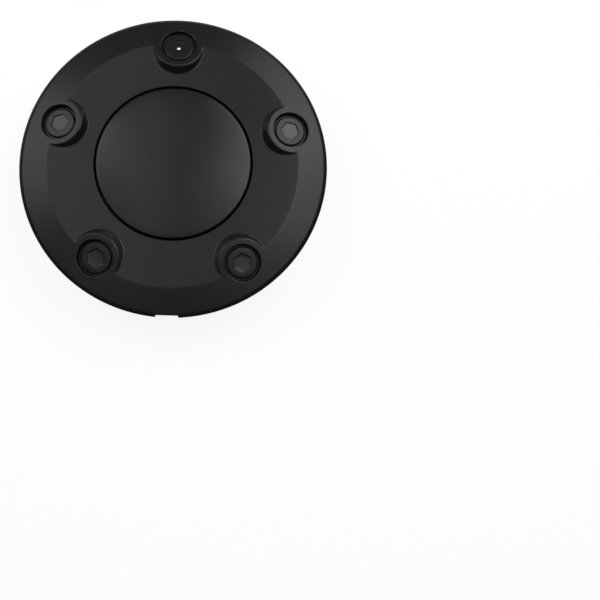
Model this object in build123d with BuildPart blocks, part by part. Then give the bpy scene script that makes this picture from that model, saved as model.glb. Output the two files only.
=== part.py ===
from build123d import *
import os
from math import asin, cos, degrees, radians, sin, sqrt, tan

# A plastic wheel centre cap that clips over the heads of five wheel bolts, with a separate snap-in centre disc.
# Millimetres. Z points out of the face and is zero at the open ends of the sockets. The puller hole is at +Y.

# Driving dimensions of the wheel side
bolt_circle = 108.0
bolt_count = 5
head_corners = 19.6
socket_clearance = 0.4
socket_wall = 1.5
socket_shoulder = 1.0
grip_barb = 0.4
tongue_width = 10.4
tongue_length = 20.0
slot_width = 1.6
crown_diameter = 76.0
crown_wall = 2.0
web_thickness = 1.6

# Driving dimensions of the face
cap_diameter = 215.0
plateau_diameter = 174.8
rim_level = 39.5
plateau_rise = 6.7
slope_angle = 11.7
shell_wall = 2.4
rim_wall = 2.2
rim_round = 2.4
notch_width = 15.5
notch_depth = 1.6
notch_backing = 1.7

# Driving dimensions of the bolt-shaped bosses
boss_circle = 171.0
top_tilt = 12.6
lip_radius = 18.0
lip_round = 0.9
lip_angle = 55.0
flank_draft = 25.5
flank_wall = 2.0
cup_radius = 13.4
cup_wall = 1.0
groove_depth = 3.3
nut_radius = 10.8
nut_drop = 1.8
hex_flats = 11.8
hex_turn = 4.0
hex_depth = 1.0
back_hex_depth = 0.5
puller_floor = 2.2
puller_counterbore_radius = 5.2
puller_counterbore_depth = 1.2
puller_hole_radius = 1.6

# Driving dimensions of the disc and its seat
disc_diameter = 108.4
disc_gap = 0.6
disc_depth = 6.7
disc_crown = 4.6
disc_flat = 18.0
disc_step = 30.0
disc_wall = 1.8
well_wall = 2.0
ledge_wall = 2.2
clip_width = 22.0
clip_thickness = 2.0
clip_radius = 45.0
clip_catch = 0.8
clip_reach = 6.0
clip_clearance = 0.6
hub_radius = 9.0
hub_wall = 1.6
hub_end = 27.5
skirt_wall = 2.0
rib_thickness = 1.2
rib_root = 9.0
rib_tip = 2.0
guide_gap = 2.2
guide_length = 13.0
guide_height = 5.0
seat_clearance = 0.1

# Levels and radii that follow from them
cap_radius = cap_diameter / 2
plateau_radius = plateau_diameter / 2
plateau_level = rim_level + plateau_rise
plateau_back = plateau_level - shell_wall
slope = radians(slope_angle)
fall = tan(slope)
slope_back = shell_wall / cos(slope)
well_radius = disc_diameter / 2 + disc_gap
ledge_level = plateau_level - disc_depth
ledge_back = ledge_level - ledge_wall
crown_radius = crown_diameter / 2
crown_bore = crown_radius - crown_wall
socket_radius = bolt_circle / 2
bore_radius = (head_corners + socket_clearance) / 2
socket_outer = bore_radius + socket_wall
pocket_start = 270.0
socket_start = 90.0


def slope_level(radius):
    return plateau_level - (radius - plateau_radius) * fall


# The section of the moulding, turned about the axle line: face, rim, well wall, ledge and crown ring
rim_inside = cap_radius - rim_wall
rim_start = cap_radius - rim_round
rim_middle = (slope_level(rim_start) + 2 * slope_level(cap_radius) + rim_level) / 4
back_corner = (rim_inside, slope_level(rim_inside) - slope_back)
back_crease = (plateau_radius - shell_wall * tan(slope / 2), plateau_back)
section = [
    (well_radius, plateau_level),
    (plateau_radius, plateau_level),
    (rim_start, slope_level(rim_start)),
    (cap_radius - rim_round / 4, rim_middle),
    (cap_radius, rim_level),
    (rim_inside, rim_level),
    back_corner,
    back_crease,
    (well_radius + well_wall, plateau_back),
    (well_radius + well_wall, ledge_back),
    (crown_radius, ledge_back),
    (crown_radius, 0),
    (crown_bore, 0),
    (crown_bore, ledge_level),
    (well_radius, ledge_level),
]

with BuildPart() as shell:
    with BuildSketch(Plane.XZ):
        with BuildLine():
            Polyline(*section, close=True)
        make_face()
    revolve(axis=Axis.Z)

# The space that a boss may fill: from the middle of the shell wall up to a cone that rises from the crease to the disc
with BuildPart() as boss_space:
    with BuildSketch(Plane.XZ):
        with BuildLine():
            Polyline(
                (well_radius, plateau_level - shell_wall / 2),
                (plateau_radius, plateau_level - shell_wall / 2),
                (plateau_radius, plateau_level),
                (well_radius, plateau_level + (plateau_radius - well_radius) * tan(radians(top_tilt))),
                close=True,
            )
        make_face()
    revolve(axis=Axis.Z)

# One boss stands on its own tilted axis, square to the slope, and is built at the +X side
boss_radius = boss_circle / 2
boss_level = slope_level(boss_radius)
boss_plane = Plane(origin=(boss_radius, 0, boss_level), x_dir=(cos(slope), 0, -sin(slope)), z_dir=(sin(slope), 0, cos(slope)))
boss_section = Plane(origin=boss_plane.origin, x_dir=boss_plane.x_dir, z_dir=(0, -1, 0))
boss_axis = Axis(boss_plane.origin, boss_plane.z_dir)
draft = tan(radians(flank_draft))
flank_drop = 14.0
lip_lift = 2.0
cavity_radius = lip_radius + flank_wall * draft - flank_wall / cos(radians(flank_draft))
button_depth = groove_depth + cup_wall
button_radius = cup_radius + cup_wall
cup_overlap = flank_wall * 0.6
hex_radius = hex_flats / sqrt(3)

with BuildPart() as flank:
    with BuildSketch(boss_section):
        with BuildLine():
            Polyline(
                (0, lip_lift),
                (lip_radius - (lip_round + lip_lift) * tan(radians(lip_angle)) + lip_round * draft, lip_lift),
                (lip_radius + lip_round * draft, -lip_round),
                (lip_radius + flank_drop * draft, -flank_drop),
                (0, -flank_drop),
                close=True,
            )
        make_face()
    revolve(axis=boss_axis)
    add(boss_space.part, mode=Mode.INTERSECT)

with BuildPart() as boss_cavity:
    with BuildSketch(boss_plane.offset(-flank_wall)):
        Circle(cavity_radius)
    extrude(amount=-flank_drop)

# The button that stands behind each boss and carries the nut, and the cup that is cut down round the nut
with BuildPart() as nut_button:
    with BuildSketch(boss_plane.offset(-cup_overlap)):
        Circle(button_radius)
    extrude(amount=cup_overlap - button_depth)
    with BuildSketch(boss_plane.offset(-button_depth)):
        RegularPolygon(hex_radius, 6, rotation=30 + hex_turn)
    extrude(amount=back_hex_depth, mode=Mode.SUBTRACT)

with BuildPart() as nut_cup:
    with BuildSketch(boss_section):
        with BuildLine():
            Polyline(
                (0, lip_lift),
                (cup_radius, lip_lift),
                (cup_radius, -groove_depth),
                (nut_radius, -groove_depth),
                (nut_radius, -nut_drop),
                (0, -nut_drop),
                close=True,
            )
        make_face()
    revolve(axis=boss_axis)
    with BuildSketch(boss_plane.offset(-nut_drop)):
        RegularPolygon(hex_radius, 6, rotation=30 + hex_turn)
    extrude(amount=-hex_depth)

# The puller boss has a stepped hole through its button instead of a nut
puller_seat = puller_floor + puller_counterbore_depth
puller_end = puller_seat + cup_wall
with BuildPart() as puller_button:
    with BuildSketch(boss_plane.offset(-cup_overlap)):
        Circle(button_radius)
    extrude(amount=cup_overlap - puller_end)

with BuildPart() as puller_cup:
    with BuildSketch(boss_section):
        with BuildLine():
            Polyline(
                (0, lip_lift),
                (cup_radius, lip_lift),
                (cup_radius, -puller_floor),
                (puller_counterbore_radius, -puller_floor),
                (puller_counterbore_radius, -puller_seat),
                (puller_hole_radius, -puller_seat),
                (puller_hole_radius, -puller_end - cup_wall),
                (0, -puller_end - cup_wall),
                close=True,
            )
        make_face()
    revolve(axis=boss_axis)

# One socket with its two spring tongues, their grip barbs and its two neck webs, at the origin with +X outward
web_offset = tongue_width / 2 + slot_width + web_thickness / 2
web_inner = crown_radius - crown_wall / 2 - socket_radius
web_outer = -sqrt(bore_radius**2 - (tongue_width / 2 + slot_width) ** 2) - 0.1
socket_top = plateau_back + shell_wall / 2
barb_arc = 2 * degrees(asin(tongue_width / 2 / bore_radius)) - 4

with BuildPart() as socket:
    with BuildSketch():
        Circle(socket_outer)
        Circle(bore_radius, mode=Mode.SUBTRACT)
    extrude(amount=ledge_back)
    # A shoulder in line with the ledge stops the bolt head
    with BuildSketch(Plane.XY.offset(ledge_back)):
        Circle(socket_outer)
        Circle(bore_radius - socket_shoulder, mode=Mode.SUBTRACT)
    extrude(amount=socket_top - ledge_back)
    with BuildSketch():
        with Locations(((web_inner + web_outer) / 2, web_offset), ((web_inner + web_outer) / 2, -web_offset)):
            Rectangle(web_outer - web_inner, web_thickness)
    extrude(amount=ledge_back + 1)
    slot_reach = socket_outer + 1.5
    slot_inside = 6.0
    slot_centre = (slot_reach + slot_inside) / 2
    slot_offset = (tongue_width + slot_width) / 2
    with BuildSketch():
        with GridLocations(2 * slot_centre, 2 * slot_offset, 2, 2):
            Rectangle(slot_reach - slot_inside, slot_width)
    extrude(amount=tongue_length, mode=Mode.SUBTRACT)
    for side in (0, 180):
        barb_plane = Plane.XZ.rotated((0, 0, side - barb_arc / 2))
        with BuildSketch(barb_plane):
            with BuildLine():
                Polyline(
                    (bore_radius + 0.5, 0.8),
                    (bore_radius, 0.8),
                    (bore_radius - grip_barb, 2.0),
                    (bore_radius, 5.0),
                    (bore_radius + 0.5, 5.0),
                    close=True,
                )
            make_face()
        revolve(axis=Axis.Z, revolution_arc=barb_arc)

neck_width = tongue_width + 2 * slot_width
clip_window_inner = clip_radius - clip_thickness / 2 - 1.0
clip_window_outer = clip_radius + clip_thickness / 2 + clip_clearance
guide_offset = clip_width / 2 + guide_gap + web_thickness / 2
guide_radius = crown_radius + guide_length / 2 - crown_wall / 2

with BuildPart() as cap_body:
    add(shell.part)
    with PolarLocations(0, bolt_count, socket_start):
        add(flank.part)
    with PolarLocations(0, bolt_count, socket_start):
        add(boss_cavity.part, mode=Mode.SUBTRACT)
    with PolarLocations(0, bolt_count - 1, socket_start + 360 / bolt_count, 360 - 720 / bolt_count, endpoint=True):
        add(nut_button.part)
        add(nut_cup.part, mode=Mode.SUBTRACT)
    with PolarLocations(0, 1, socket_start):
        add(puller_button.part)
        add(puller_cup.part, mode=Mode.SUBTRACT)
    with PolarLocations(socket_radius, bolt_count, socket_start):
        add(socket.part)
    # The well stays clear of the socket tubes that run up past its wall
    with BuildSketch(Plane.XY.offset(ledge_level)):
        Circle(well_radius)
    extrude(amount=plateau_rise + 8, mode=Mode.SUBTRACT)
    # The crown ring is open behind each inner tongue, so that the tongue can spring
    with BuildSketch():
        with PolarLocations((crown_bore - 1 + socket_radius - socket_outer - 0.8) / 2, bolt_count, socket_start):
            Rectangle(socket_radius - socket_outer - 0.8 - crown_bore + 1, neck_width)
    extrude(amount=tongue_length + 2, mode=Mode.SUBTRACT)
    # Windows in the ledge for the clips, with a guide rib on each side
    with BuildSketch(Plane.XY.offset(ledge_back - 1)):
        with PolarLocations((clip_window_inner + clip_window_outer) / 2, bolt_count, pocket_start):
            Rectangle(clip_window_outer - clip_window_inner, clip_width + 2 * clip_clearance)
    extrude(amount=ledge_wall + 2, mode=Mode.SUBTRACT)
    with BuildSketch(Plane.XY.offset(ledge_back - guide_height)):
        with PolarLocations(0, bolt_count, pocket_start):
            with Locations((guide_radius, guide_offset), (guide_radius, -guide_offset)):
                Rectangle(guide_length, web_thickness)
    extrude(amount=guide_height + ledge_wall / 2)
    # The pry notch in the rim, backed so that the wall keeps its thickness
    notch_face = cap_radius - notch_depth
    with BuildSketch(Plane.XY.offset(rim_level)):
        with Locations((0, -(notch_face - rim_wall / 2 - 0.1))):
            Rectangle(notch_width + 2 * notch_backing, rim_wall + 0.2)
    extrude(amount=2.2)
    with BuildSketch(Plane.XY.offset(rim_level - 1)):
        with Locations((0, -(notch_face + 5))):
            Rectangle(notch_width, 10)
    extrude(amount=plateau_rise + 5, mode=Mode.SUBTRACT)

disc_radius = disc_diameter / 2
disc_top = plateau_level + disc_crown
skirt_inside = disc_radius - skirt_wall
catch_level = ledge_back - seat_clearance
catch_radius = clip_window_outer + clip_catch
clip_end = ledge_back - clip_reach
wall_overlap = disc_wall / 4

rib_start = hub_radius - hub_wall / 2
rib_step = crown_bore - seat_clearance - 1.0


def dome_level(radius):
    """Height of the sloping part of the disc's face."""
    return plateau_level + disc_crown * (disc_radius - radius) / (disc_radius - disc_flat)


# The back of the disc is two flats, each of which leaves the wall at its outer edge
middle_back = dome_level(disc_step) - disc_wall
border_back = dome_level(skirt_inside) - disc_wall

# One stiffening rib for the back of the disc, at the +X side; it clears the crown ring
with BuildPart() as disc_rib:
    with BuildSketch(Plane.XZ):
        with BuildLine():
            Polyline(
                (rib_start, border_back - rib_root),
                (rib_step, border_back - rib_tip),
                (rib_step, border_back + wall_overlap),
                (disc_step + wall_overlap, border_back + wall_overlap),
                (disc_step + wall_overlap, middle_back + wall_overlap),
                (rib_start, middle_back + wall_overlap),
                close=True,
            )
        make_face()
    extrude(amount=rib_thickness / 2, both=True)

# One spring clip at the +X side, with a relief in the middle of its end and a hook on either side of it
clip_root = border_back + wall_overlap
with BuildPart() as disc_clip:
    with BuildSketch(Plane.XZ):
        with BuildLine():
            Polyline(
                (clip_radius - clip_thickness / 2, clip_root),
                (clip_radius - clip_thickness / 2, clip_end),
                (clip_radius + clip_thickness / 2 - 0.6, clip_end),
                (catch_radius, catch_level - 1.6),
                (catch_radius, catch_level),
                (clip_radius + clip_thickness / 2, catch_level),
                (clip_radius + clip_thickness / 2, clip_root),
                close=True,
            )
        make_face()
    extrude(amount=clip_width / 2, both=True)
    with BuildSketch(Plane.XY.offset(clip_end - 1)):
        with Locations((clip_radius, 0)):
            Rectangle(clip_thickness + 6, clip_width - 10)
    extrude(amount=clip_reach + 0.5, mode=Mode.SUBTRACT)

with BuildPart() as centre_disc:
    hub_inside = hub_radius - hub_wall
    with BuildSketch(Plane.XZ):
        with BuildLine():
            Polyline(
                (0, disc_top),
                (disc_flat, disc_top),
                (disc_radius, plateau_level),
                (disc_radius, ledge_level),
                (skirt_inside, ledge_level),
                (skirt_inside, border_back),
                (disc_step, border_back),
                (disc_step, middle_back),
                (hub_radius, middle_back),
                (hub_radius, hub_end),
                (hub_inside, hub_end),
                (hub_inside, middle_back),
                (0, middle_back),
                close=True,
            )
        make_face()
    revolve(axis=Axis.Z)
    with PolarLocations(0, bolt_count, socket_start):
        add(disc_rib.part)
    with PolarLocations(0, bolt_count, pocket_start):
        add(disc_clip.part)

cap_body.part.label = "cap_body"
centre_disc.part.label = "centre_disc"
os.makedirs("parts", exist_ok=True)
export_step(cap_body.part, "parts/cap_body.step")
export_step(centre_disc.part, "parts/centre_disc.step")
print(cap_body.part.is_valid, cap_body.part.volume, centre_disc.part.is_valid, centre_disc.part.volume)
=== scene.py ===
"""Looks of a black plastic wheel centre cap: its moulded body, its snap-in disc and a plain studio."""

from math import cos, pi, radians, sin, tan

import bmesh
import bpy
import numpy as np
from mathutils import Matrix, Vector


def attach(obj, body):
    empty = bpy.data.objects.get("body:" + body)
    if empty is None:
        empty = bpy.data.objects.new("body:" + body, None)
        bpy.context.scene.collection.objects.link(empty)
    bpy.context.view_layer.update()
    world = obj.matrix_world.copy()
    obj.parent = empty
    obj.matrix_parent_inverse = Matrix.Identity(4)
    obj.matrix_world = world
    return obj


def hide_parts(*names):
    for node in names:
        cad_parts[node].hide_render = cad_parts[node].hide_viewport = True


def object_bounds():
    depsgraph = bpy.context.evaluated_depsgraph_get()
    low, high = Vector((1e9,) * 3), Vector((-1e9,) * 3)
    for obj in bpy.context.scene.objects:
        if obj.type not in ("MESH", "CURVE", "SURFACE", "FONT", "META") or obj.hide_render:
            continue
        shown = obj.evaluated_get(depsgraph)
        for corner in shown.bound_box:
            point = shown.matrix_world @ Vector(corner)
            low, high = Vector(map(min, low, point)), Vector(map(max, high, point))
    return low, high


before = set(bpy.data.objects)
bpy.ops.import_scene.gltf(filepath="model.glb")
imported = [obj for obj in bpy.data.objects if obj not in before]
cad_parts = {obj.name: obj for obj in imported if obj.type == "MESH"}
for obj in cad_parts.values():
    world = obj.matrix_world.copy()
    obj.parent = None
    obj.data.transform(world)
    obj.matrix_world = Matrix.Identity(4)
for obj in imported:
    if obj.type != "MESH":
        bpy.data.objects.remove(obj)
cad_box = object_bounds()

bl_info = {
    "name": "Wheel Centre Cap",
    "version": (1, 0, 0),
    "blender": (4, 5, 0),
    "location": "3D View > Sidebar > Centre Cap",
    "description": "Builds the skins, the plastics and the studio of a wheel centre cap",
    "category": "Object",
}

MM = 0.001
BOSS_COUNT = 5
FIRST_BOSS = pi / 2
# Turn from one boss to the next
SECTOR = 2 * pi / BOSS_COUNT


def length(name, description, millimetres):
    """A length property whose default is given in millimetres."""
    return bpy.props.FloatProperty(
        name=name, description=description, default=millimetres * MM, unit="LENGTH", precision=5
    )


def angle(name, description, degrees):
    """An angle property whose default is given in degrees."""
    return bpy.props.FloatProperty(
        name=name, description=description, default=radians(degrees), unit="ROTATION", subtype="ANGLE"
    )


def factor(name, description, default):
    """A property that runs from 0 to 1."""
    return bpy.props.FloatProperty(
        name=name, description=description, default=default, min=0, max=1, subtype="FACTOR"
    )


def colour(name, description, default):
    """A linear colour property."""
    return bpy.props.FloatVectorProperty(
        name=name, description=description, default=default, subtype="COLOR", size=3, min=0, max=1
    )


class CapFaceSizes(bpy.types.PropertyGroup):
    """Sizes of the moulded face, its rim and its well."""

    cap_radius: length("Cap radius", "Outer radius of the rim", 107.5)
    plateau_radius: length("Plateau radius", "Radius of the crease where the slope starts", 87.4)
    plateau_level: length("Plateau level", "Height of the flat ring round the disc", 46.2)
    rim_level: length("Rim level", "Height of the rim's back edge", 39.5)
    slope_angle: angle("Slope angle", "Fall of the sloping border", 11.7)
    crease_blend: length("Crease blend", "Height over which plateau and slope merge", 0.16)
    rim_bevel: length("Rim bevel", "Width of the steep bevel along the rim", 2.3)
    rim_angle: angle("Rim angle", "Fall of the rim's bevel", 32.0)
    rim_round: length("Rim rounding", "Rounding of the bevel's upper edge", 0.8)
    well_radius: length("Well radius", "Radius of the well that the disc sits in", 54.8)
    well_flare: length("Well flare", "How much wider the well is at its mouth than at its floor", 0.4)
    well_round: length("Well rounding", "Rounding of the well's upper edge", 0.8)
    notch_width: length("Notch width", "Width of the pry notch in the rim", 15.5)
    notch_depth: length("Notch depth", "Depth of the pry notch in the rim", 1.6)


class BossSizes(bpy.types.PropertyGroup):
    """Sizes of the bolt-shaped bosses, measured about each boss's own tilted axis."""

    boss_radius: length("Boss circle", "Distance of a boss from the axle line", 85.5)
    top_tilt: angle("Top tilt", "Rise of a boss's top from the crease towards the disc", 12.3)
    lip_radius: length("Lip radius", "Radius of the lip's outer corner", 16.9)
    lip_blend: length("Lip blend", "Height over which lip and flank merge", 1.0)
    foot_blend: length("Foot blend", "Height over which flank and plateau merge", 0.4)
    flank_draft: angle("Flank draft", "Lean of the flank from the boss's axis", 38.0)
    cup_radius: length("Cup radius", "Radius of the cup in the lip", 12.6)
    cup_round: length("Cup rounding", "Rounding of the cup's upper edge", 0.6)
    groove_depth: length("Groove depth", "Depth of the groove round the nut", 4.1)
    wall_draft: length("Wall draft", "How far the cup's wall leans in down to the groove's floor", 0.8)
    nut_radius: length("Nut radius", "Radius of the round nut in the cup", 10.6)
    nut_drop: length("Nut drop", "Depth of the nut's top under the lip", 2.6)
    nut_round: length("Nut rounding", "Rounding of the nut's upper edge", 1.0)
    hex_flats: length("Hexagon size", "Width over the flats of the hexagon recess", 11.8)
    hex_turn: angle("Hexagon turn", "Turn of the hexagon recess about the boss's axis", 4.0)
    hex_depth: length("Hexagon depth", "Depth of the hexagon recess", 1.0)
    puller_groove: length("Puller groove", "Depth of the groove round the puller's nut", 2.9)
    puller_drop: length("Puller drop", "Depth of the puller's nut under the lip", 1.3)
    counterbore_radius: length("Counterbore radius", "Radius of the puller's counterbore", 6.2)
    counterbore_depth: length("Counterbore depth", "Depth of the puller's counterbore", 0.8)
    step_radius: length("Step radius", "Radius of the second step in the puller's counterbore", 2.9)
    step_depth: length("Step depth", "Depth of the second step in the puller's counterbore", 0.8)
    puller_hole_radius: length("Puller hole radius", "Radius of the puller hole", 1.3)
    hole_back_radius: length("Hole back radius", "Radius of the puller hole at its back end", 1.6)
    puller_back: length("Puller back", "Depth of the back end of the puller hole", 4.4)


class DiscSizes(bpy.types.PropertyGroup):
    """Sizes of the snap-in centre disc."""

    disc_radius: length("Disc radius", "Outer radius of the disc", 54.2)
    disc_crown: length("Disc crown", "Rise of the disc's middle over its edge", 4.55)
    disc_taper: length("Disc taper", "How much narrower the disc is at its face than at its back", 0.4)
    disc_round: length("Disc rounding", "Rounding of the disc's edge", 0.8)


class PlasticFinish(bpy.types.PropertyGroup):
    """The moulded black plastic."""

    colour: colour("Colour", "Base colour of the plastic", (0.0098, 0.0098, 0.0102))
    body_roughness: factor("Body roughness", "Mean roughness of the satin body", 0.3)
    disc_roughness: factor("Disc roughness", "Mean roughness of the satin disc", 0.29)
    wall_roughness: factor("Wall roughness", "Roughness of steep walls", 0.12)
    # Painted shade: the share of the base colour that steep walls get, so that they look darker as if in
    # shade
    painted_wall_shade: factor("Wall shade", "Share of the base colour on steep walls", 0.7)
    specular: factor("Specular", "Specular level of the plastic", 0.16)
    polish: factor("Polish", "Specular level of the hexagon floors", 0.27)
    back_roughness: factor("Back roughness", "Mean roughness of the glossy back", 0.18)
    back_specular: factor("Back specular", "Specular level of the glossy back", 0.5)
    matt_roughness: factor("Matt roughness", "Mean roughness of ledges behind the face", 0.8)
    matt_specular: factor("Matt specular", "Specular level of ledges behind the face", 0.02)
    grain: length("Grain", "Size of the fine moulded grain", 0.35)


class StudioSettings(bpy.types.PropertyGroup):
    """The camera and lamps of the studio."""

    eye: bpy.props.FloatVectorProperty(
        name="Eye",
        description="Place of the camera",
        default=(0.0392, -0.1506, 0.5816),
        subtype="TRANSLATION",
        unit="LENGTH",
    )
    turn: bpy.props.FloatVectorProperty(
        name="Turn",
        description="Rotation of the camera",
        default=(radians(10.26), radians(-1.27), radians(1.71)),
        subtype="EULER",
        unit="ROTATION",
    )
    lens: bpy.props.FloatProperty(name="Lens", description="Focal length", default=47.85, unit="CAMERA")
    shift: bpy.props.FloatVectorProperty(
        name="Shift", description="Lens shift", default=(0.0992, -0.1), size=2
    )
    floor_colour: colour("Floor", "Colour of the floor", (0.9, 0.9, 0.9))
    lamp_colour: colour("Lamps", "Colour of the lamps", (0.95, 0.94, 1.0))


def blended_low(first, second, width):
    """The lower of two heights, merged by a parabola where they differ by less than the width."""
    near = np.maximum(width - np.abs(first - second), 0.0)
    return np.minimum(first, second) - near**2 / (4 * width)


def blended_high(first, second, width):
    """The higher of two heights, merged by a parabola where they differ by less than the width."""
    return -blended_low(-first, -second, width)


# Steps of one rounding in the cups, along the rim, and at the edges of the well and the disc
CUP_STEPS = 5
RIM_STEPS = 8
EDGE_STEPS = 6


def rounded_path(corners, steps):
    """A path through corners (x, y, rounding): each rounding is a parabola between two cut-back points."""
    points = []
    last = len(corners) - 1
    for i, (x, y, cut) in enumerate(corners):
        tip = np.array((x, y))
        if not cut or i in (0, last):
            points.append(tip)
            continue
        before = np.array(corners[i - 1][:2]) - tip
        after = np.array(corners[i + 1][:2]) - tip
        arrive = tip + before / np.linalg.norm(before) * cut
        leave = tip + after / np.linalg.norm(after) * cut
        for t in np.linspace(0, 1, steps + 1):
            points.append(arrive * (1 - t) ** 2 + tip * 2 * t * (1 - t) + leave * t**2)
    return np.array(points)


# Newton's steps that find the flank, and the least distance from an axis that is divided by
NEWTON_STEPS = 8
NEAR_AXIS = 0.001 * MM


class BossFrame:
    """The tilted axes of one boss at the +X side, and the heights of the face round it."""

    def __init__(self, face, boss):
        self.face = face
        self.boss = boss
        self.fall = tan(face.slope_angle)
        self.c = cos(face.slope_angle)
        self.s = sin(face.slope_angle)
        self.x0 = boss.boss_radius
        self.z0 = float(self.top_level(boss.boss_radius))
        self.steep = 1 / tan(boss.flank_draft)

    def slope_level(self, radius):
        """Height of the sloping border: it falls from the crease by the tangent of the slope angle."""
        return self.face.plateau_level - (radius - self.face.plateau_radius) * self.fall

    def face_level(self, radius):
        """Height of plateau and slope: the lower of the two, merged at the crease."""
        level = np.full_like(radius, self.face.plateau_level)
        return blended_low(level, self.slope_level(radius), self.face.crease_blend)

    def top_level(self, radius):
        """Height of a boss's top: in line with the slope outside the crease, and inside it rising on
        towards the disc by the tangent of the top's tilt."""
        rise = (self.face.plateau_radius - radius) * tan(self.boss.top_tilt)
        return np.where(rise > 0, self.face.plateau_level + rise, self.slope_level(radius))

    def place(self, rho, theta, w):
        """World points of a spot at radius rho, turn theta and height w in the boss's tilted frame."""
        u = rho * np.cos(theta)
        x = self.x0 + u * self.c + w * self.s
        z = self.z0 - u * self.s + w * self.c
        return np.stack(np.broadcast_arrays(x, rho * np.sin(theta), z), axis=-1)

    def tilted(self, x, z):
        """Distances of world points along the boss's tilted radial line and along its axis."""
        out = x - self.x0
        up = z - self.z0
        return out * self.c - up * self.s, out * self.s + up * self.c

    def local(self, points):
        """Radius, turn and height of world points in the boss's tilted frame."""
        x, y, z = np.moveaxis(points, -1, 0)
        u, w = self.tilted(x, z)
        return np.hypot(u, y), np.arctan2(y, u), w

    def flank_level(self, x, y):
        """Height of the flank's cone over plan points, found along the upright by Newton's steps."""
        z = np.full_like(x, self.z0)
        for _ in range(NEWTON_STEPS):
            u, w = self.tilted(x, z)
            rho = np.maximum(np.hypot(u, y), NEAR_AXIS)
            miss = w - (self.boss.lip_radius - rho) * self.steep
            z = z - miss / (self.c - self.steep * self.s * u / rho)
        return z

    def height(self, x, y):
        """Height of the face at plan points: the lower of boss top and flank, merged at the lip, and the
        higher of that and the face, merged at the foot. The top's rise is set back first by what the merge
        at the foot adds to it, to twice the root of blend times rise, less the blend, so that the top stays
        flush where it has no rise."""
        foot = self.boss.foot_blend
        radius = np.hypot(x, y)
        face = self.face_level(radius)
        rise = np.maximum(self.top_level(radius) - face, 0)
        set_back = np.where(rise < foot, 2 * np.sqrt(foot * rise) - foot, rise)
        lip = blended_low(face + set_back, self.flank_level(x, y), self.boss.lip_blend)
        return blended_high(face, lip, foot)


def turned(points, turn):
    """Points turned about the axle line, all by one turn or each by its own."""
    c, s = np.cos(turn), np.sin(turn)
    x, y, z = np.moveaxis(points, -1, 0)
    return np.stack((x * c - y * s, x * s + y * c, z), axis=-1)


def turned_profile(path, turn):
    """Grid of a profile of radius and height that is turned about the axle line to each of the turns."""
    radius, level = path[:, :1], path[:, 1:]
    return np.stack(np.broadcast_arrays(radius * np.cos(turn), radius * np.sin(turn), level), axis=-1)


def grid_faces(rows, columns):
    """Quads of a grid of rows by columns, whose columns run round and close."""
    index = np.arange(rows * columns).reshape(rows, columns)
    right = np.roll(index, -1, axis=1)
    quads = np.stack((index[:-1], right[:-1], right[1:], index[1:]), axis=-1)
    return quads.reshape(-1, 4)


# The attribute of steepness, and the leans from the level at which it starts and ends
# The steepness also sets the painted shade on walls, as well as their gloss
STEEPNESS = "steepness"
GENTLE = radians(20)
STEEP = radians(40)


def note_steepness(mesh):
    """Stores on each point how steep the skin is: 0 on a gentle slope, 1 on a wall, even in between."""
    normals = np.empty(len(mesh.vertices) * 3, np.float32)
    mesh.vertex_normals.foreach_get("vector", normals)
    lean = np.arccos(np.clip(np.abs(normals[2::3]), 0, 1))
    steep = np.clip((lean - GENTLE) / (STEEP - GENTLE), 0, 1)
    mesh.attributes.new(STEEPNESS, "FLOAT", "POINT").data.foreach_set("value", steep)


# Numbers of the materials on a skin
FRONT, BACK, MATT, POLISHED = range(4)
# Points closer than this are merged, and edges shorter than this are dissolved
MERGE = 0.002 * MM
NO_LENGTH = 0.0001 * MM
# Edges that turn by more than this stay sharp
SHARP = radians(38)


class Skin:
    """A mesh that is gathered patch by patch and joined into one piece."""

    def __init__(self):
        self.points = []
        self.faces = []
        self.finishes = []
        self.count = 0

    def add(self, points, faces, flip=False, finish=FRONT):
        """Adds loose points and the faces that index them, with the number of the material they wear."""
        faces = np.asarray(faces)
        if flip:
            faces = faces[:, ::-1]
        self.points.append(np.asarray(points).reshape(-1, 3))
        self.faces.extend((faces + self.count).tolist())
        self.finishes.append(np.full(len(faces), finish, np.int32))
        self.count += len(self.points[-1])

    def add_grid(self, grid, flip=False, finish=FRONT):
        """Adds a grid of points, rows by columns, whose columns run round and close."""
        self.add(grid, grid_faces(grid.shape[0], grid.shape[1]), flip, finish)

    def build(self, name):
        """The joined mesh object: doubles merged, faces smooth, sharp edges kept, steepness noted."""
        mesh = bpy.data.meshes.new(name)
        mesh.from_pydata(np.concatenate(self.points), [], self.faces)
        mesh.polygons.foreach_set("material_index", np.concatenate(self.finishes))
        work = bmesh.new()
        work.from_mesh(mesh)
        bmesh.ops.remove_doubles(work, verts=work.verts, dist=MERGE)
        bmesh.ops.dissolve_degenerate(work, edges=work.edges, dist=NO_LENGTH)
        work.to_mesh(mesh)
        work.free()
        mesh.polygons.foreach_set("use_smooth", np.ones(len(mesh.polygons), bool))
        mesh.set_sharp_from_angle(angle=SHARP)
        mesh.update()
        note_steepness(mesh)
        piece = bpy.data.objects.new(name, mesh)
        bpy.context.scene.collection.objects.link(piece)
        return piece


# Steps of half a sector's edge along the well, up the side and along the rim
ALONG_WELL = 20
ALONG_SIDE = 36
ALONG_RIM = 40
# How the side's points are drawn to the crease: the least share of an even step, and its growth's power
CREASE_DRAW = 0.22
CREASE_POWER = 1.5
# Rings round a boss out to its flank, and how far they reach past the lip
BOSS_RINGS = 20
FLANK_REACH = 1.5 * MM
# Rings from there to the sector's edge, and the power by which they spread
FACE_RINGS = 26
RING_SPREAD = 1.7


def rim_start(shape):
    """Radius at which the rounding of the rim's bevel starts."""
    face = shape.face
    return face.cap_radius - face.rim_bevel - face.rim_round * shape.c


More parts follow.
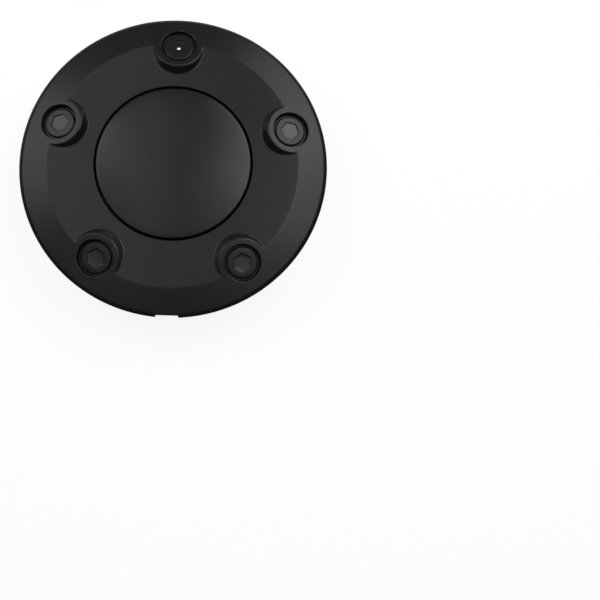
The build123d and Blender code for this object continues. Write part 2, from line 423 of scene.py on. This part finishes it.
def sector_edge(face, inner, outer):
    """Plan edge of one boss's sector as radii and turns, from the inner middle round its +Y half and back:
    along the well's edge, up the side half way to the next boss, with its points drawn close to the crease,
    and along the rim's edge."""
    half = SECTOR / 2
    t = np.arange(ALONG_WELL) / ALONG_WELL
    well = np.stack((np.full_like(t, inner), half * t))
    t = np.arange(ALONG_SIDE) / ALONG_SIDE
    crease = (face.plateau_radius - inner) / (outer - inner)
    spread = t - crease
    reach = np.where(spread < 0, crease, 1 - crease)
    growth = (np.abs(spread) / reach) ** CREASE_POWER
    drawn = crease + spread * (CREASE_DRAW + (1 - CREASE_DRAW) * growth)
    side = np.stack((inner + (outer - inner) * drawn, np.full_like(t, half)))
    t = np.arange(ALONG_RIM + 1) / ALONG_RIM
    rim = np.stack((np.full_like(t, outer), half * (1 - t)))
    radius, turn = np.concatenate((well, side, rim), axis=1)
    return np.concatenate((radius, radius[-2:0:-1])), np.concatenate((turn, -turn[-2:0:-1]))


def face_sector(shape):
    """Grid of one sector of the face, and its columns' turns about the boss: rings about the boss out to
    its flank, then rings that pass into the sector's edge."""
    face, boss = shape.face, shape.boss
    inner = face.well_radius + face.well_flare + face.well_round
    edge_radius, edge_turn = sector_edge(face, inner, rim_start(shape))
    count = len(edge_radius)
    theta = pi - 2 * pi * np.arange(count) / count
    mouth = boss.cup_radius + boss.cup_round
    rings = np.linspace(mouth, boss.lip_radius + FLANK_REACH, BOSS_RINGS)[:, None]
    x = shape.x0 + rings * np.cos(theta) * shape.c
    y = rings * np.sin(theta)
    foot_radius = np.hypot(x[-1], y[-1])
    foot_turn = np.arctan2(y[-1], x[-1])
    s = (np.arange(1, FACE_RINGS + 1) / FACE_RINGS)[:, None] ** RING_SPREAD
    radius = foot_radius + (edge_radius - foot_radius) * s
    turn = foot_turn + (edge_turn - foot_turn) * s
    x = np.concatenate((x, radius * np.cos(turn)))
    y = np.concatenate((y, radius * np.sin(turn)))
    return np.stack((x, y, shape.height(x, y)), axis=-1), theta


# Rounding at the floor of the groove round a nut
GROOVE_ROUND = 0.2 * MM
# Turn of one side of a hexagon, and the share of its width over the flats where the nut's round top ends
HEX_SIDE = pi / 3
HEX_LAND = 0.62
# Rings at the upper edge of the hexagon recess: shares of the hexagon, and depths under the nut's top
HEX_EDGE = ((1.06, 0), (1.03, 0), (1.01, 0.06 * MM), (1.0, 0.22 * MM))
# Rings at its floor: shares of the hexagon, and heights over the floor
HEX_FLOOR = ((0.985, 0.2 * MM), (0.97, 0.05 * MM), (0.93, 0), (0.5, 0), (0.0, 0))
# How many of the last rings are polished
POLISHED_RINGS = 4
# Roundings and wall drafts of the puller's counterbore and of the step in it
BORE_ROUND = 0.25 * MM
BORE_DRAFT = 0.3 * MM
STEP_ROUND = 0.2 * MM
STEP_DRAFT = 0.2 * MM
# Rounding of the puller hole's upper edge, and the height and rounding of the flare at its back end
HOLE_ROUND = 0.15 * MM
FLARE_HEIGHT = 0.3 * MM
FLARE_ROUND = 0.1 * MM


def cup_grid(shape, rho, theta, w, rim):
    """A cup's rings about the boss's axis, set down from the face's rim, whose waves fade with depth."""
    _, level = shape.tilted(rim[:, 0], rim[:, 2])
    fade = np.clip(1 + w / shape.boss.groove_depth, 0, 1)
    grid = shape.place(rho, theta, w + level * fade)
    grid[0] = rim
    return grid


def cup_path(boss, groove, drop):
    """Corners of the profile that all cups share: rounded mouth, wall, groove and the nut's edge."""
    return [
        (boss.cup_radius + boss.cup_round, 0, 0),
        (boss.cup_radius, 0, boss.cup_round),
        (boss.cup_radius - boss.wall_draft, -groove, GROOVE_ROUND),
        (boss.nut_radius + boss.wall_draft / 2, -groove, GROOVE_ROUND),
        (boss.nut_radius, -drop, boss.nut_round),
    ]


def nut_cup(shape, theta, rim):
    """Grid of one cup: a profile turned about the boss's axis, down the cup, over the nut and into a
    hexagon recess whose rings pass from the circle to the hexagon, its radius being half the flats over
    the cosine of the turn from the flat's middle."""
    boss = shape.boss
    top = -boss.nut_drop
    floor = top - boss.hex_depth
    corners = cup_path(boss, boss.groove_depth, boss.nut_drop) + [(boss.hex_flats * HEX_LAND, top, 0)]
    path = rounded_path(corners, CUP_STEPS)
    from_flat = (theta + HEX_SIDE / 2 - boss.hex_turn) % HEX_SIDE - HEX_SIDE / 2
    hexagon = boss.hex_flats / 2 / np.cos(from_flat)
    edge, base = np.array(HEX_EDGE), np.array(HEX_FLOOR)
    shares = np.concatenate((edge[:, 0], base[:, 0]))[:, None]
    levels = np.concatenate((top - edge[:, 1], floor + base[:, 1]))
    rho = np.concatenate((np.repeat(path[:, :1], len(theta), axis=1), shares * hexagon))
    w = np.concatenate((path[:, 1], levels))[:, None]
    grid = cup_grid(shape, rho, theta, w, rim)
    grid[-1] = grid[-1].mean(axis=0)
    return grid


def puller_cup(shape, theta, rim):
    """Grid of the puller's cup: a profile turned about the boss's axis, down the cup, over a round nut and
    down the two steps of its counterbore into the hole, which widens at its back end."""
    boss = shape.boss
    counterbore = boss.puller_drop + boss.counterbore_depth
    step = counterbore + boss.step_depth
    path = rounded_path(cup_path(boss, boss.puller_groove, boss.puller_drop) + [
        (boss.counterbore_radius, -boss.puller_drop, BORE_ROUND),
        (boss.counterbore_radius - BORE_DRAFT, -counterbore, BORE_ROUND),
        (boss.step_radius, -counterbore, STEP_ROUND),
        (boss.step_radius - STEP_DRAFT, -step, STEP_ROUND),
        (boss.puller_hole_radius, -step, HOLE_ROUND),
        (boss.puller_hole_radius, FLARE_HEIGHT - boss.puller_back, FLARE_ROUND),
        (boss.hole_back_radius, -boss.puller_back, 0),
    ], CUP_STEPS)
    return cup_grid(shape, path[:, :1], theta, path[:, 1:], rim)


# Rings of the rim's bevel that the notch's flat crosses, and the rounding of the bevel's lower edge
NOTCH_CROSSINGS = 4
RIM_EDGE_ROUND = 0.35 * MM
# Turn between a corner of the pry notch and the columns drawn to its two sides
NOTCH_SIDE = 1e-6
# How far the well's wall reaches past the rim's level
WELL_OVERLAP = 0.02 * MM


def notch_flat(face):
    """Distance of the pry notch's flat from the axle line."""
    return face.cap_radius - face.notch_depth


def rim_strip(shape):
    """Grid of the rim: its bevel turned about the axle line, pushed back to a flat where the pry notch cuts
    it. Its columns are even along the face, and under it those next to the notch's corners are drawn close
    to both sides."""
    face = shape.face
    start = rim_start(shape)
    bevel = face.cap_radius - face.rim_bevel
    top = shape.slope_level(bevel)
    fall = tan(face.rim_angle)
    flat = notch_flat(face)
    corner = np.arcsin(face.notch_width / 2 / face.cap_radius)
    crossings = np.linspace(flat, flat / cos(corner), NOTCH_CROSSINGS)
    path = rounded_path([
        (start, shape.slope_level(start), 0),
        (bevel, top, face.rim_round),
        *((radius, top - (radius - bevel) * fall, 0) for radius in crossings),
        (face.cap_radius, top - face.rim_bevel * fall, RIM_EDGE_ROUND),
        (face.cap_radius, face.rim_level, 0),
    ], RIM_STEPS)[1:]
    columns = 2 * BOSS_COUNT * ALONG_RIM
    number = np.arange(columns) - columns // 2
    even = 2 * pi * number / columns
    inside = int(corner * columns / (2 * pi))
    drawn = np.where(np.abs(number) == inside, np.sign(number) * (corner - NOTCH_SIDE), even)
    drawn = np.where(np.abs(number) == inside + 1, np.sign(number) * (corner + NOTCH_SIDE), drawn)
    turn = np.repeat(drawn[None], len(path), axis=0)
    turn[0] = even
    x = path[:, :1] * np.sin(turn)
    y = -path[:, :1] * np.cos(turn)
    y = np.where(np.abs(turn) < corner, np.maximum(y, -flat), y)
    return np.stack(np.broadcast_arrays(x, y, path[:, 1:]), axis=-1)


def well_strip(face):
    """Grid of the well's wall: a rounded edge and a straight wall turned about the axle line."""
    mouth = face.well_radius + face.well_flare
    path = rounded_path([
        (mouth + face.well_round, face.plateau_level, 0),
        (mouth, face.plateau_level, face.well_round),
        (face.well_radius, face.rim_level - WELL_OVERLAP, 0),
    ], EDGE_STEPS)
    turn = np.linspace(0, 2 * pi, 2 * BOSS_COUNT * ALONG_WELL, endpoint=False) + FIRST_BOSS
    return turned_profile(path, turn)


# Rings of the disc's crown, and columns round the disc
CROWN_RINGS = 26
DISC_COLUMNS = 240


def disc_face(disc, face):
    """Grid of the disc's face: a crown that falls with the radius squared, a rounded edge and the wall."""
    span = disc.disc_radius - disc.disc_round
    radius = span * np.linspace(0, 1, CROWN_RINGS)
    crown = face.plateau_level + disc.disc_crown * (1 - (radius / disc.disc_radius) ** 2)
    edge = rounded_path([
        (radius[-2], crown[-2], 0),
        (disc.disc_radius - disc.disc_taper, face.plateau_level, disc.disc_round),
        (disc.disc_radius, face.rim_level, 0),
    ], EDGE_STEPS)[1:]
    path = np.concatenate((np.stack((radius[:-1], crown[:-1]), axis=1), edge))
    return turned_profile(path, np.linspace(0, 2 * pi, DISC_COLUMNS, endpoint=False))


# Least area that is divided by, in square metres
NO_AREA = 1e-12
# Slits that are narrower than this are closed
SLIT = 0.1 * MM
# Radius and depth within which the walls of the CAD body's cups lie
CAD_CUP = 13.9 * MM
CAD_GROOVE = 3.4 * MM
# Margins that tell the CAD's face, rim, rim's edge, notch and disc from what lies behind them
FACE_MARGIN = 0.3 * MM
RIM_MARGIN = 0.05 * MM
EDGE_MARGIN = 0.01 * MM
NOTCH_MARGIN = 0.02 * MM
DISC_MARGIN = 0.2 * MM
# Least parts of a CAD normal that looks out of the face, the rim and the crown, or square from a round wall
FACE_LOOK = 0.3
RIM_LOOK = 0.2
CROWN_LOOK = 0.5
SQUARE_LOOK = 0.9
# Most that a normal on the wall of a cup and of the notch leans from the level
CUP_LEAN = 0.15
NOTCH_LEAN = 0.1


def node_triangles(solid):
    """A CAD node's triangles, as an array of triangles by corners by coordinates, and their normals."""
    mesh = solid.data
    mesh.calc_loop_triangles()
    corners = np.empty(len(mesh.loop_triangles) * 3, np.int32)
    mesh.loop_triangles.foreach_get("vertices", corners)
    points = np.empty(len(mesh.vertices) * 3, np.float32)
    mesh.vertices.foreach_get("co", points)
    triangles = points.reshape(-1, 3)[corners].reshape(-1, 3, 3).astype(float)
    normals = np.cross(triangles[:, 1] - triangles[:, 0], triangles[:, 2] - triangles[:, 0])
    return triangles, normals / np.maximum(np.linalg.norm(normals, axis=1), NO_AREA)[:, None]


def plan_look(centre, normals):
    """Radius of spots on a solid, and the part of their normals that looks away from the axle line."""
    radius = np.hypot(centre[:, 0], centre[:, 1])
    along = centre[:, 0] * normals[:, 0] + centre[:, 1] * normals[:, 1]
    return radius, along / np.maximum(radius, NEAR_AXIS)


def back_of_body(shape):
    """Triangles of the CAD body behind its face: all but those of face, cups, hole, well, rim and notch."""
    face, boss = shape.face, shape.boss
    triangles, normals = node_triangles(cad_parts["cap_body"])
    centre = triangles.mean(axis=1)
    radius, outward = plan_look(centre, normals)
    nearest = np.round((plan_turn(centre) - FIRST_BOSS) / SECTOR) * SECTOR + FIRST_BOSS
    rho, _, w = shape.local(turned(centre, -nearest))
    lift = turned(normals, -nearest)[:, 0] * shape.s + normals[:, 2] * shape.c
    high = centre[:, 2] > face.rim_level + FACE_MARGIN
    faces_out = high & (lift > FACE_LOOK)
    upright = high & (np.abs(lift) < CUP_LEAN)
    in_cup = upright & (rho < CAD_CUP) & (w > -CAD_GROOVE)
    in_hole = upright & (rho < boss.hole_back_radius + SLIT)
    in_well = (np.abs(radius - face.well_radius) < SLIT) & (outward < -SQUARE_LOOK)
    over_edge = centre[:, 2] > face.rim_level + EDGE_MARGIN
    on_rim = over_edge & (radius > notch_flat(face) + RIM_MARGIN) & (outward > RIM_LOOK)
    in_notch = (centre[:, 1] < NOTCH_MARGIN - notch_flat(face)) & (np.abs(normals[:, 2]) < NOTCH_LEAN)
    return triangles[~(faces_out | in_cup | in_hole | in_well | on_rim | in_notch)]


def back_of_disc(disc, face):
    """Triangles of the CAD disc behind its face: all but its crown and its outer wall."""
    triangles, normals = node_triangles(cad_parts["centre_disc"])
    centre = triangles.mean(axis=1)
    radius, outward = plan_look(centre, normals)
    crown = (normals[:, 2] > CROWN_LOOK) & (centre[:, 2] > face.plateau_level - DISC_MARGIN)
    wall = (radius > disc.disc_radius - DISC_MARGIN) & (outward > SQUARE_LOOK)
    return triangles[~(crown | wall)]


def add_triangles(skin, triangles):
    """Adds loose triangles to a skin, kept as they are wound: those that look forward are matt."""
    sides = triangles[:, 1:, :2] - triangles[:, :1, :2]
    forward = np.linalg.det(sides) > 0
    for chosen, finish in ((triangles[forward], MATT), (triangles[~forward], BACK)):
        skin.add(chosen, np.arange(len(chosen) * 3).reshape(-1, 3), finish=finish)


def open_points(triangles):
    """Points on the open edges of loose triangles: the ends of every edge that only one triangle has."""
    points = triangles.reshape(-1, 3)
    rounded = np.round(points / MERGE)
    _, first, index = np.unique(rounded, axis=0, return_index=True, return_inverse=True)
    corners = index.reshape(-1, 3)
    edges = np.sort(np.concatenate((corners[:, :2], corners[:, 1:], corners[:, ::2])), axis=1)
    edges, times = np.unique(edges, axis=0, return_counts=True)
    return points[first[np.unique(edges[times == 1])]]


def last_before(turns, limits, side):
    """Numbers of the last of the sorted turns that lies before each limit, going round."""
    laps = np.concatenate((turns - 2 * pi, turns, turns + 2 * pi))
    return (np.searchsorted(laps, limits, side=side) - 1) % len(turns)


def join_rings(skin, ring, ring_turn, other, other_turn, flip=False):
    """Closes the slit between two rings: each step along one ring is a triangle with the point that the
    other ring has reached by then."""
    ring, ring_turn = ring[np.argsort(ring_turn)], np.sort(ring_turn)
    other, other_turn = other[np.argsort(other_turn)], np.sort(other_turn)
    count = len(ring)
    here = np.arange(count)
    there = np.arange(len(other)) + count
    ring_next = np.append(ring_turn[1:], ring_turn[0] + 2 * pi)
    other_next = np.append(other_turn[1:], other_turn[0] + 2 * pi)
    opposite = last_before(other_turn, ring_next, "left") + count
    along = np.stack((here, np.roll(here, -1), opposite), axis=1)
    opposite = last_before(ring_turn, other_next, "right")
    back = np.stack((np.roll(there, -1), there, opposite), axis=1)
    skin.add(np.concatenate((ring, other)), np.concatenate((along, back)), flip, finish=BACK)


def plan_turn(points):
    """Turn of points about the axle line."""
    return np.arctan2(points[:, 1], points[:, 0])


def rim_turn(points, face):
    """Turn of the rim's points from the notch's middle: those on its flat count as out on the circle."""
    x, y = points[:, 0], points[:, 1]
    on_flat = (np.abs(y + notch_flat(face)) < SLIT) & (np.abs(x) < face.notch_width / 2 + SLIT)
    inside = np.arcsin(np.clip(x / face.cap_radius, -1, 1)) * (1 - NOTCH_SIDE)
    return np.where(on_flat, inside, np.arctan2(x, -y))


def close_body(skin, shape, back, rim, well, hole, theta):
    """Closes the slits between the body's face and back: along the rim, round the well and the hole."""
    face, boss = shape.face, shape.boss
    points = open_points(back)
    radius = np.hypot(points[:, 0], points[:, 1])
    level = np.abs(points[:, 2] - face.rim_level) < SLIT
    on_rim = points[level & (radius > notch_flat(face) - SLIT)]
    join_rings(skin, rim, rim_turn(rim, face), on_rim, rim_turn(on_rim, face), flip=True)
    on_well = points[level & (np.abs(radius - face.well_radius) < SLIT)]
    join_rings(skin, well, plan_turn(well), on_well, plan_turn(on_well))
    rho, turn, w = shape.local(turned(points, -FIRST_BOSS))
    in_hole = (rho < boss.hole_back_radius + SLIT) & (np.abs(w + boss.puller_back) < SLIT)
    join_rings(skin, hole, theta, points[in_hole], turn[in_hole])


def close_disc(skin, disc, face, back, wall):
    """Closes the slit between the outer wall and the back of the disc."""
    points = open_points(back)
    radius = np.hypot(points[:, 0], points[:, 1])
    level = np.abs(points[:, 2] - face.rim_level) < SLIT
    on_wall = points[level & (np.abs(radius - disc.disc_radius) < SLIT)]
    join_rings(skin, wall, plan_turn(wall), on_wall, plan_turn(on_wall), flip=True)


# Sockets of a colour's Mix node: its two colours and its result
MIX_A, MIX_B, MIX_RESULT = 6, 7, 2
# Noise of the grain, and how far it moves the roughness up and down
GRAIN_NOISE = {"Detail": 3.0, "Roughness": 0.6}
GRAIN_SWING = 0.05
# Strength and height of the grain's bump
BUMP_STRENGTH = 0.25
BUMP_HEIGHT = 0.04 * MM
# Noise of the slow clouds in the colour, and the shares of the colour that they run between
CLOUD_NOISE = {"Scale": 35.0, "Detail": 4.0, "Roughness": 0.55}
CLOUD_DARK = 0.85
CLOUD_LIGHT = 1.2


def node(tree, kind, **values):
    """A new node of the tree, with values set on the inputs of that name, or else on its attributes."""
    made = tree.nodes.new(kind)
    for key, value in values.items():
        if key in made.inputs:
            made.inputs[key].default_value = value
        else:
            setattr(made, key, value)
    return made


def shaded(tint, share):
    """A share of a colour, opaque."""
    return (*(value * share for value in tint), 1)


def black_plastic(name, finish, roughness, specular):
    """Moulded black plastic: a fine grain in bump and roughness, slow clouds in colour, and steep walls
    that are glossier, because the mould's grain is drawn smooth there, and darker by a painted shade in
    their colour."""
    material = bpy.data.materials.new(name)
    material.use_nodes = True
    tree = material.node_tree
    link = tree.links.new
    shader = tree.nodes["Principled BSDF"]
    shader.inputs["Specular IOR Level"].default_value = specular
    place = node(tree, "ShaderNodeTexCoord").outputs["Object"]
    grain = node(tree, "ShaderNodeTexNoise", Scale=1 / finish.grain, **GRAIN_NOISE)
    clouds = node(tree, "ShaderNodeTexNoise", **CLOUD_NOISE)
    for texture in (grain, clouds):
        link(place, texture.inputs["Vector"])
    tint = node(tree, "ShaderNodeMix", data_type="RGBA")
    tint.inputs[MIX_A].default_value = shaded(finish.colour, CLOUD_DARK)
    tint.inputs[MIX_B].default_value = shaded(finish.colour, CLOUD_LIGHT)
    link(clouds.outputs["Fac"], tint.inputs["Factor"])
    gloss = node(tree, "ShaderNodeMapRange")
    gloss.inputs["To Min"].default_value = roughness - GRAIN_SWING
    gloss.inputs["To Max"].default_value = roughness + GRAIN_SWING
    link(grain.outputs["Fac"], gloss.inputs["Value"])
    steep = node(tree, "ShaderNodeAttribute", attribute_name=STEEPNESS)
    # Painted shade: steep walls get a darker share of the base colour, standing in for the shade on the
    # bosses' flanks and walls
    painted_shade = node(tree, "ShaderNodeMix", data_type="RGBA")
    painted_shade.inputs[MIX_B].default_value = shaded(finish.colour, finish.painted_wall_shade)
    link(steep.outputs["Fac"], painted_shade.inputs["Factor"])
    link(tint.outputs[MIX_RESULT], painted_shade.inputs[MIX_A])
    link(painted_shade.outputs[MIX_RESULT], shader.inputs["Base Color"])
    drawn = node(tree, "ShaderNodeMix", data_type="FLOAT")
    drawn.inputs["B"].default_value = finish.wall_roughness
    link(steep.outputs["Fac"], drawn.inputs["Factor"])
    link(gloss.outputs["Result"], drawn.inputs["A"])
    link(drawn.outputs["Result"], shader.inputs["Roughness"])
    bump = node(tree, "ShaderNodeBump", Strength=BUMP_STRENGTH, Distance=BUMP_HEIGHT)
    link(grain.outputs["Fac"], bump.inputs["Height"])
    link(bump.outputs["Normal"], shader.inputs["Normal"])
    return material


def dress(piece, materials, slot, *nodes):
    """Gives a finished piece its materials, lets it ride on the cap and replace its CAD nodes."""
    for material in materials:
        piece.data.materials.append(material)
    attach(piece, "root")
    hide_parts(*nodes)


class CAP_OT_body(bpy.types.Operator):
    """Builds the moulded body: a smooth face with five bosses over the back of the CAD body"""

    bl_idname = "cap.body"
    bl_label = "Cap body"

    def execute(self, context):
        scene = context.scene
        finish = scene.cap_finish
        shape = BossFrame(scene.cap_face, scene.cap_boss)
        sector, theta = face_sector(shape)
        nut = nut_cup(shape, theta, sector[0])
        puller = puller_cup(shape, theta, sector[0])
        skin = Skin()
        for k in range(BOSS_COUNT):
            turn = FIRST_BOSS + k * SECTOR
            skin.add_grid(turned(sector, turn))
            if k == 0:
                skin.add_grid(turned(puller, turn), flip=True)
                continue
            skin.add_grid(turned(nut[:-POLISHED_RINGS], turn), flip=True)
            skin.add_grid(turned(nut[-POLISHED_RINGS - 1:], turn), flip=True, finish=POLISHED)
        rim = rim_strip(shape)
        well = well_strip(scene.cap_face)
        back = back_of_body(shape)
        skin.add_grid(rim, flip=True)
        skin.add_grid(well)
        add_triangles(skin, back)
        close_body(skin, shape, back, rim[-1], well[-1], turned(puller[-1], FIRST_BOSS), theta)
        piece = skin.build("cap_shell")
        materials = (
            black_plastic("satin_black_cap", finish, finish.body_roughness, finish.specular),
            black_plastic("glossy_black_back", finish, finish.back_roughness, finish.back_specular),
            black_plastic("matt_black_ledge", finish, finish.matt_roughness, finish.matt_specular),
            black_plastic("polished_black_hexagon", finish, finish.body_roughness, finish.polish),
        )
        dress(piece, materials, "cap_plastic", "cap_body")
        return {"FINISHED"}


class CAP_OT_disc(bpy.types.Operator):
    """Builds the snap-in disc: a smooth crowned face over the back of the CAD disc"""

    bl_idname = "cap.disc"
    bl_label = "Centre disc"

    def execute(self, context):
        scene = context.scene
        disc, face, finish = scene.cap_disc, scene.cap_face, scene.cap_finish
        skin = Skin()
        front = disc_face(disc, face)
        back = back_of_disc(disc, face)
        skin.add_grid(front, flip=True)
        add_triangles(skin, back)
        close_disc(skin, disc, face, back, front[-1])
        piece = skin.build("disc_shell")
        materials = (
            black_plastic("satin_black_disc", finish, finish.disc_roughness, finish.specular),
            black_plastic("glossy_black_disc_back", finish, finish.back_roughness, finish.back_specular),
            black_plastic("matt_black_disc_ledge", finish, finish.matt_roughness, finish.matt_specular),
        )
        dress(piece, materials, "disc_plastic", "centre_disc")
        return {"FINISHED"}


# Sines of the heights over the horizon at which the backdrop starts to fade and ends
BACKDROP_FADE = 0.1
BACKDROP_TOP = 0.25
# Half the floor's width in metres, and the share of its look that is lit and not its own light
FLOOR_REACH = 3.0
FLOOR_LIT = 0.1
# Each softbox: its name, its elevation and azimuth in degrees as seen from the cap, and its power in watts
SOFTBOXES = (
    ("high_right_softbox", 60, 25, 6.0),
    ("back_right_softbox", 45, 50, 5.75),
    ("left_softbox", 45, 155, 5.3),
    ("high_left_softbox", 59, 125, 2.3),
    ("overhead_right_softbox", 75, 0, 2.3),
    ("overhead_left_softbox", 75, 180, 2.4),
)
# Distance and size of every softbox in metres, and the spot that it faces
SOFTBOX_REACH = 1.25
SOFTBOX_WIDTH = 0.7
SOFTBOX_HEIGHT = 0.5
LAMP_AIM = Vector((0.0, 0.0, 0.045))
# Width of the camera's sensor in millimetres, and the nearest distance that it sees in metres
SENSOR_WIDTH = 36.0
NEAREST_SEEN = 0.01
WHITE = (1, 1, 1, 1)


def combined(tree, operation, first, second):
    """The result of a Math node that takes two values."""
    made = node(tree, "ShaderNodeMath", operation=operation)
    tree.links.new(first, made.inputs[0])
    tree.links.new(second, made.inputs[1])
    return made.outputs[0]


def seen_directly(tree):
    """A value of 1 for rays from the camera and for those that gloss or glass sends on, and 0 for the light
    on the cap."""
    rays = node(tree, "ShaderNodeLightPath").outputs
    mirrored = combined(tree, "MAXIMUM", rays["Is Glossy Ray"], rays["Is Transmission Ray"])
    return combined(tree, "MAXIMUM", rays["Is Camera Ray"], mirrored)


def backdrop_seen(tree):
    """A value of 1 for rays from the camera, and for those that gloss or glass sends on to the backdrop,
    which stands round the floor up to a low height: the ceiling over it is dark."""
    way = node(tree, "ShaderNodeTexCoord")
    parts = node(tree, "ShaderNodeSeparateXYZ")
    low = node(tree, "ShaderNodeMapRange")
    low.inputs["From Min"].default_value = BACKDROP_TOP
    low.inputs["From Max"].default_value = BACKDROP_FADE
    tree.links.new(way.outputs["Generated"], parts.inputs[0])
    tree.links.new(parts.outputs["Z"], low.inputs["Value"])
    standing = combined(tree, "MULTIPLY", low.outputs["Result"], seen_directly(tree))
    rays = node(tree, "ShaderNodeLightPath").outputs
    return combined(tree, "MAXIMUM", rays["Is Camera Ray"], standing)


def floor_material(tint):
    """A pale floor that looks white and keeps a soft shadow, mostly its own light and partly lit, and clear
    from below."""
    material = bpy.data.materials.new("pale_floor")
    material.use_nodes = True
    tree = material.node_tree
    link = tree.links.new
    tree.nodes.remove(tree.nodes["Principled BSDF"])
    output = tree.nodes["Material Output"]
    lit = node(tree, "ShaderNodeBsdfDiffuse", Color=(*tint, 1))
    glow = node(tree, "ShaderNodeEmission", Color=WHITE, Strength=1.0)
    clear = node(tree, "ShaderNodeBsdfTransparent")
    side = node(tree, "ShaderNodeNewGeometry")
    pale = node(tree, "ShaderNodeMixShader", Fac=FLOOR_LIT)
    mixed = node(tree, "ShaderNodeMixShader")
    sided = node(tree, "ShaderNodeMixShader")
    link(glow.outputs[0], pale.inputs[1])
    link(lit.outputs[0], pale.inputs[2])
    link(seen_directly(tree), mixed.inputs["Fac"])
    link(lit.outputs[0], mixed.inputs[1])
    link(pale.outputs[0], mixed.inputs[2])
    link(side.outputs["Backfacing"], sided.inputs["Fac"])
    link(mixed.outputs[0], sided.inputs[1])
    link(clear.outputs[0], sided.inputs[2])
    link(sided.outputs[0], output.inputs["Surface"])
    return material


def studio_floor(tint):
    """A square floor at the level of the cap's lowest point."""
    mesh = bpy.data.meshes.new("floor")
    level = cad_box[0][2]
    corners = [(x * FLOOR_REACH, y * FLOOR_REACH, level) for x, y in ((-1, -1), (1, -1), (1, 1), (-1, 1))]
    mesh.from_pydata(corners, [], [(0, 1, 2, 3)])
    mesh.materials.append(floor_material(tint))
    floor = bpy.data.objects.new("floor", mesh)
    bpy.context.scene.collection.objects.link(floor)


def softbox(name, elevation, azimuth, power, tint):
    """A rectangular area lamp on a sphere about the cap's face, turned to face it."""
    lamp = bpy.data.lights.new(name, "AREA")
    lamp.shape = "RECTANGLE"
    lamp.size = SOFTBOX_WIDTH
    lamp.size_y = SOFTBOX_HEIGHT
    lamp.energy = power
    lamp.color = tint
    made = bpy.data.objects.new(name, lamp)
    way = Vector((cos(elevation) * cos(azimuth), cos(elevation) * sin(azimuth), sin(elevation)))
    made.location = LAMP_AIM + way * SOFTBOX_REACH
    made.rotation_euler = (-way).to_track_quat("-Z", "Y").to_euler()
    bpy.context.scene.collection.objects.link(made)


def studio_world():
    """A world that shows a white backdrop to the camera and in gloss, and lights nothing else."""
    world = bpy.data.worlds.new("studio")
    world.use_nodes = True
    tree = world.node_tree
    sky = tree.nodes["Background"]
    sky.inputs["Color"].default_value = WHITE
    tree.links.new(backdrop_seen(tree), sky.inputs["Strength"])
    return world


def studio_camera(studio):
    """The camera, placed and turned by the studio's settings."""
    lens = bpy.data.cameras.new("camera")
    lens.lens = studio.lens
    lens.sensor_width = SENSOR_WIDTH
    lens.shift_x, lens.shift_y = studio.shift
    lens.clip_start = NEAREST_SEEN
    camera = bpy.data.objects.new("camera", lens)
    camera.location = studio.eye
    camera.rotation_euler = studio.turn
    bpy.context.scene.collection.objects.link(camera)
    return camera


class CAP_OT_studio(bpy.types.Operator):
    """Sets up the pale floor, the soft lamps, the world and the camera"""

    bl_idname = "cap.studio"
    bl_label = "Studio"

    def execute(self, context):
        scene = context.scene
        studio = scene.cap_studio
        studio_floor(studio.floor_colour)
        for name, elevation, azimuth, power in SOFTBOXES:
            softbox(name, radians(elevation), radians(azimuth), power, studio.lamp_colour)
        scene.world = studio_world()
        scene.camera = studio_camera(studio)
        scene.view_settings.view_transform = "Standard"
        return {"FINISHED"}


SETTINGS = {
    "cap_face": CapFaceSizes,
    "cap_boss": BossSizes,
    "cap_disc": DiscSizes,
    "cap_finish": PlasticFinish,
    "cap_studio": StudioSettings,
}
OPERATORS = (CAP_OT_body, CAP_OT_disc, CAP_OT_studio)


class CAP_PT_panel(bpy.types.Panel):
    """Lists the steps that build the cap"""

    bl_idname = "CAP_PT_panel"
    bl_label = "Centre Cap"
    bl_space_type = "VIEW_3D"
    bl_region_type = "UI"
    bl_category = "Centre Cap"

    def draw(self, context):
        for operator in OPERATORS:
            self.layout.operator(operator.bl_idname)


def register():
    """Registers the classes and hangs the settings on the scene."""
    for name, group in SETTINGS.items():
        bpy.utils.register_class(group)
        setattr(bpy.types.Scene, name, bpy.props.PointerProperty(type=group))
    for operator in OPERATORS:
        bpy.utils.register_class(operator)
    bpy.utils.register_class(CAP_PT_panel)


def unregister():
    """Takes the settings and the classes away again."""
    bpy.utils.unregister_class(CAP_PT_panel)
    for operator in reversed(OPERATORS):
        bpy.utils.unregister_class(operator)
    for name, group in SETTINGS.items():
        delattr(bpy.types.Scene, name)
        bpy.utils.unregister_class(group)


def main():
    """Builds the cap and its studio."""
    register()
    bpy.ops.cap.body()
    bpy.ops.cap.disc()
    bpy.ops.cap.studio()


if __name__ == "__main__":
    main()
